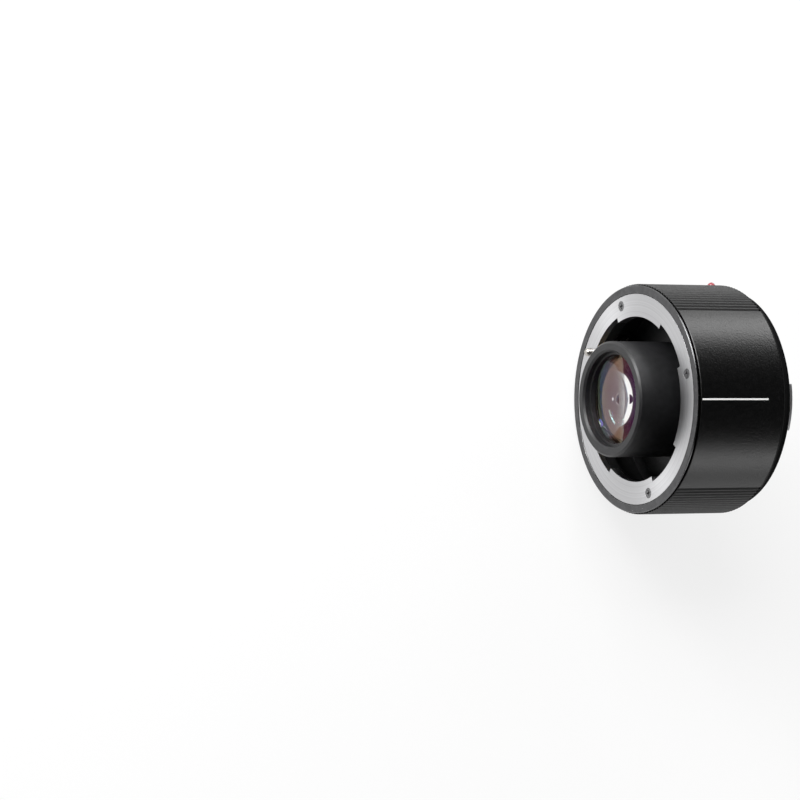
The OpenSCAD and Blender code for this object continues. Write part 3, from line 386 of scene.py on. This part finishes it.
def circuit_board():
    """Green solder mask with paler copper runs under it."""
    finish = Finish("circuit_board", (0.012, 0.075, 0.03), roughness=0.32, ior=1.55)
    pattern = {"Scale": 400.0, "Mortar Size": 0.06, "Brick Width": 1.6, "Row Height": 0.3}
    runs = finish.node("ShaderNodeTexBrick", {"Vector": finish.place}, pattern).outputs["Fac"]
    finish.mottle(runs, share=0.55)
    finish.uneven(finish.noise(0.6 * MM), low=0.27, high=0.38)
    finish.bump(runs, depth=0.01 * MM)
    return finish.done()


def flex_film():
    """Amber film with dark copper runs along it."""
    finish = Finish("flex_film", (0.32, 0.13, 0.02), roughness=0.35, ior=1.6)
    pattern = {"Scale": 330.0, "Distortion": 0.4}
    runs = finish.node("ShaderNodeTexWave", {"Vector": finish.place}, pattern).outputs["Fac"]
    finish.mottle(runs, share=0.4)
    finish.uneven(finish.noise(0.8 * MM), low=0.28, high=0.42)
    finish.bump(runs, depth=0.006 * MM)
    return finish.done()


def black_alloy():
    """Matte black anodised cells with turned light-trap lines."""
    finish = Finish("black_alloy", (0.011, 0.011, 0.012), roughness=0.42)
    finish.mottle(finish.noise(1.6 * MM), share=0.25)
    finish.edge_wear_and_sheen(radius=0.1 * MM, colour=grey(0.07), most=0.5)
    finish.uneven(finish.rings(0.2 * MM), low=0.36, high=0.5)
    finish.bump(finish.rings(0.12 * MM), depth=0.004 * MM)
    return finish.done()


def optical_glass():
    """Coated glass: clear, with a thin film that tints its reflections."""
    finish = Finish("optical_glass", (0.97, 0.99, 0.985), roughness=0.0, ior=1.6)
    finish.set("Transmission Weight", 1.0)
    finish.set("Thin Film Thickness", 330.0).set("Thin Film IOR", 1.38)
    finish.uneven(finish.noise(6 * MM), low=0.0, high=0.025)
    return finish.done()


def black_rubber():
    """Matte rubber with a dusty bloom."""
    finish = Finish("black_rubber", grey(0.016), roughness=0.72)
    finish.mottle(finish.noise(1.1 * MM), share=0.35)
    finish.uneven(finish.noise(0.6 * MM), low=0.64, high=0.8)
    finish.bump(finish.noise(0.2 * MM), depth=0.008 * MM)
    return finish.done()


def line_paint():
    """White marking paint, a little chalky."""
    finish = Finish("line_paint", (0.95, 0.95, 0.94), roughness=0.5)
    finish.mottle(finish.noise(0.5 * MM), share=0.03)
    finish.uneven(finish.noise(0.3 * MM), low=0.42, high=0.58)
    finish.bump(finish.noise(0.12 * MM), depth=0.004 * MM)
    return finish.done()


def floor_paper():
    """Pale studio paper with the faintest tooth, which the camera and reflections see as nearly white."""
    finish = Finish("floor_paper", grey(FLOOR_TONE), roughness=0.9, ior=1.3)
    finish.set("Specular IOR Level", 0.1)
    finish.mottle(finish.noise(40 * MM), share=0.006)
    finish.bump(finish.noise(2 * MM), depth=0.01 * MM)
    path = finish.node("ShaderNodeLightPath").outputs
    direct = finish.maths("MAXIMUM", path["Is Camera Ray"], path["Is Glossy Ray"])
    seen = finish.maths("MAXIMUM", direct, path["Is Transmission Ray"])
    glow = finish.by_mask(seen, outside=0.0, inside=FLOOR_GLOW)
    white = finish.node("ShaderNodeEmission").outputs["Emission"]
    both = finish.node("ShaderNodeMixShader", {0: glow, 1: finish.shader.outputs["BSDF"], 2: white})
    finish.tree.links.new(both.outputs["Shader"], finish.tree.nodes["Material Output"].inputs["Surface"])
    return finish.done()


def dress_nodes():
    """Gives every CAD node the finish that its slot in the record names."""
    makers = [barrel_paint, rim_black, rim_matte, mount_metal, red_enamel, cast_alloy, spring_steel,
              screw_steel, contact_gold, black_plastic, circuit_board, flex_film, black_alloy,
              optical_glass, black_rubber]
    finishes = {maker.__name__: maker() for maker in makers}
    for row in frame["record"]["subparts"]:
        node = frame["nodes"][row["node"]]
        node.data.materials.clear()
        node.data.materials.append(finishes[row["material_slot"]])


def new_object(name, data):
    """An object of this name in the scene."""
    made = bpy.data.objects.new(name, data)
    bpy.context.scene.collection.objects.link(made)
    return made


def index_line():
    """The white index line: a thin band of paint that follows the barrel and is sunk into it."""
    half_turn = math.degrees(LINE_WIDTH / 2 / BARREL_R)
    steps = [2 * j / LINE_CELLS_ACROSS - 1 for j in range(LINE_CELLS_ACROSS + 1)]
    angles = [INDEX_ANGLE + half_turn * step for step in steps]
    mesh = bmesh.new()
    loops = []
    for i in range(LINE_CELLS_ALONG + 1):
        height = LINE_FROM + (LINE_TO - LINE_FROM) * i / LINE_CELLS_ALONG
        points = [on_barrel(BARREL_R + LINE_RISE, angle, height) for angle in angles]
        points += [on_barrel(BARREL_R - LINE_SINK, angle, height) for angle in reversed(angles)]
        loops.append([mesh.verts.new(point) for point in points])
    count = len(loops[0])
    for low, high in zip(loops, loops[1:]):
        for j in range(count):
            k = (j + 1) % count
            mesh.faces.new((low[j], low[k], high[k], high[j]))
    mesh.faces.new(loops[0])
    mesh.faces.new(loops[-1])
    bmesh.ops.recalc_face_normals(mesh, faces=mesh.faces)
    data = bpy.data.meshes.new("index_line")
    mesh.to_mesh(data)
    mesh.free()
    data.materials.append(line_paint())
    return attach(new_object("index_line", data), "body")


def sprung_coil(name, node):
    """A coil that stands for its CAD spring: a copy of its mesh on the body, in place of the CAD spring."""
    coil = new_object(name, frame["nodes"][node].data.copy())
    coil.matrix_world = frame["nodes"][node].matrix_world
    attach(coil, "body")
    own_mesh(coil)
    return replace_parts(coil, node)


def floor():
    """A plain pale floor under the lowest rib."""
    level = cad_box[0].z
    signs = [(-1, -1), (1, -1), (1, 1), (-1, 1)]
    corners = [(x * FLOOR_HALF, y * FLOOR_HALF, level) for x, y in signs]
    data = bpy.data.meshes.new("floor")
    data.from_pydata(corners, [], [(0, 1, 2, 3)])
    data.materials.append(floor_paper())
    new_object("floor", data)


def place(thing, right, up, back, where):
    """Turns a lamp or a camera so that it looks away from its back, and puts it there."""
    thing.matrix_world = Matrix((right, up, back)).transposed().to_4x4()
    thing.location = where


def softbox(name, towards, distance, width, height, radiance):
    """A rectangular lamp that faces the barrel, with its width along the optical axis."""
    data = bpy.data.lights.new(name, "AREA")
    data.shape = "RECTANGLE"
    data.size = width
    data.size_y = height
    data.energy = radiance * math.pi * width * height
    lamp = new_object(name, data)
    lamp.visible_camera = False
    back = Vector(towards).normalized()
    axis = Vector((1, 0, 0))
    side = (axis - back * axis.dot(back)).normalized()
    place(lamp, side, back.cross(side), back, back * distance)


def mirrored(glint):
    """Where the barrel looks, by mirror, from the line this many degrees from the index line."""
    return on_barrel(math.cos(CAMERA_OFF_SQUARE), INDEX_ANGLE + 2 * glint, -math.sin(CAMERA_OFF_SQUARE))


def light():
    """A strip for each highlight along the barrel, a fill and a glint from the front, a faint rear fill."""
    softbox("upper_strip", mirrored(UPPER_GLINT), distance=1.1, width=1.4, height=0.44, radiance=4.3)
    softbox("lower_strip", mirrored(LOWER_GLINT), distance=1.1, width=1.2, height=0.34, radiance=2.4)
    softbox("front_fill", (-0.45, 0.62, 0.64), distance=1.3, width=1.0, height=0.8, radiance=7.5)
    softbox("front_edge_glint", (-0.74, 0.56, 0.28), distance=1.2, width=0.6, height=0.6, radiance=10.0)
    softbox("rear_fill", (0.95, -0.1, 0.25), distance=1.5, width=0.9, height=0.5, radiance=1.5)
    world = bpy.data.worlds.new("studio")
    world.use_nodes = True
    world.node_tree.nodes["Background"].inputs["Color"].default_value = (*grey(WORLD_TONE), 1)
    bpy.context.scene.world = world


def camera():
    """The photograph's camera: level with the index line and standing to the front of square."""
    data = bpy.data.cameras.new("camera")
    data.lens = CAMERA_LENS
    data.sensor_width = CAMERA_SENSOR
    data.clip_start = CAMERA_NEAR
    data.clip_end = CAMERA_FAR
    back = on_barrel(math.cos(CAMERA_OFF_SQUARE), INDEX_ANGLE, math.sin(CAMERA_OFF_SQUARE))
    up = on_barrel(1, DOT_ANGLE, 0)
    right = up.cross(back)
    made = new_object("camera", data)
    place(made, right, up, back, back * CAMERA_DISTANCE - right * PICTURE_LEFT - up * PICTURE_DOWN)
    bpy.context.scene.camera = made


camera()
dress_nodes()
index_line()
sprung_coil("lock_coil", "lock_spring")
sprung_coil("contact_coils", "contact_springs")
floor()
light()
bpy.context.scene.view_settings.view_transform = "Standard"
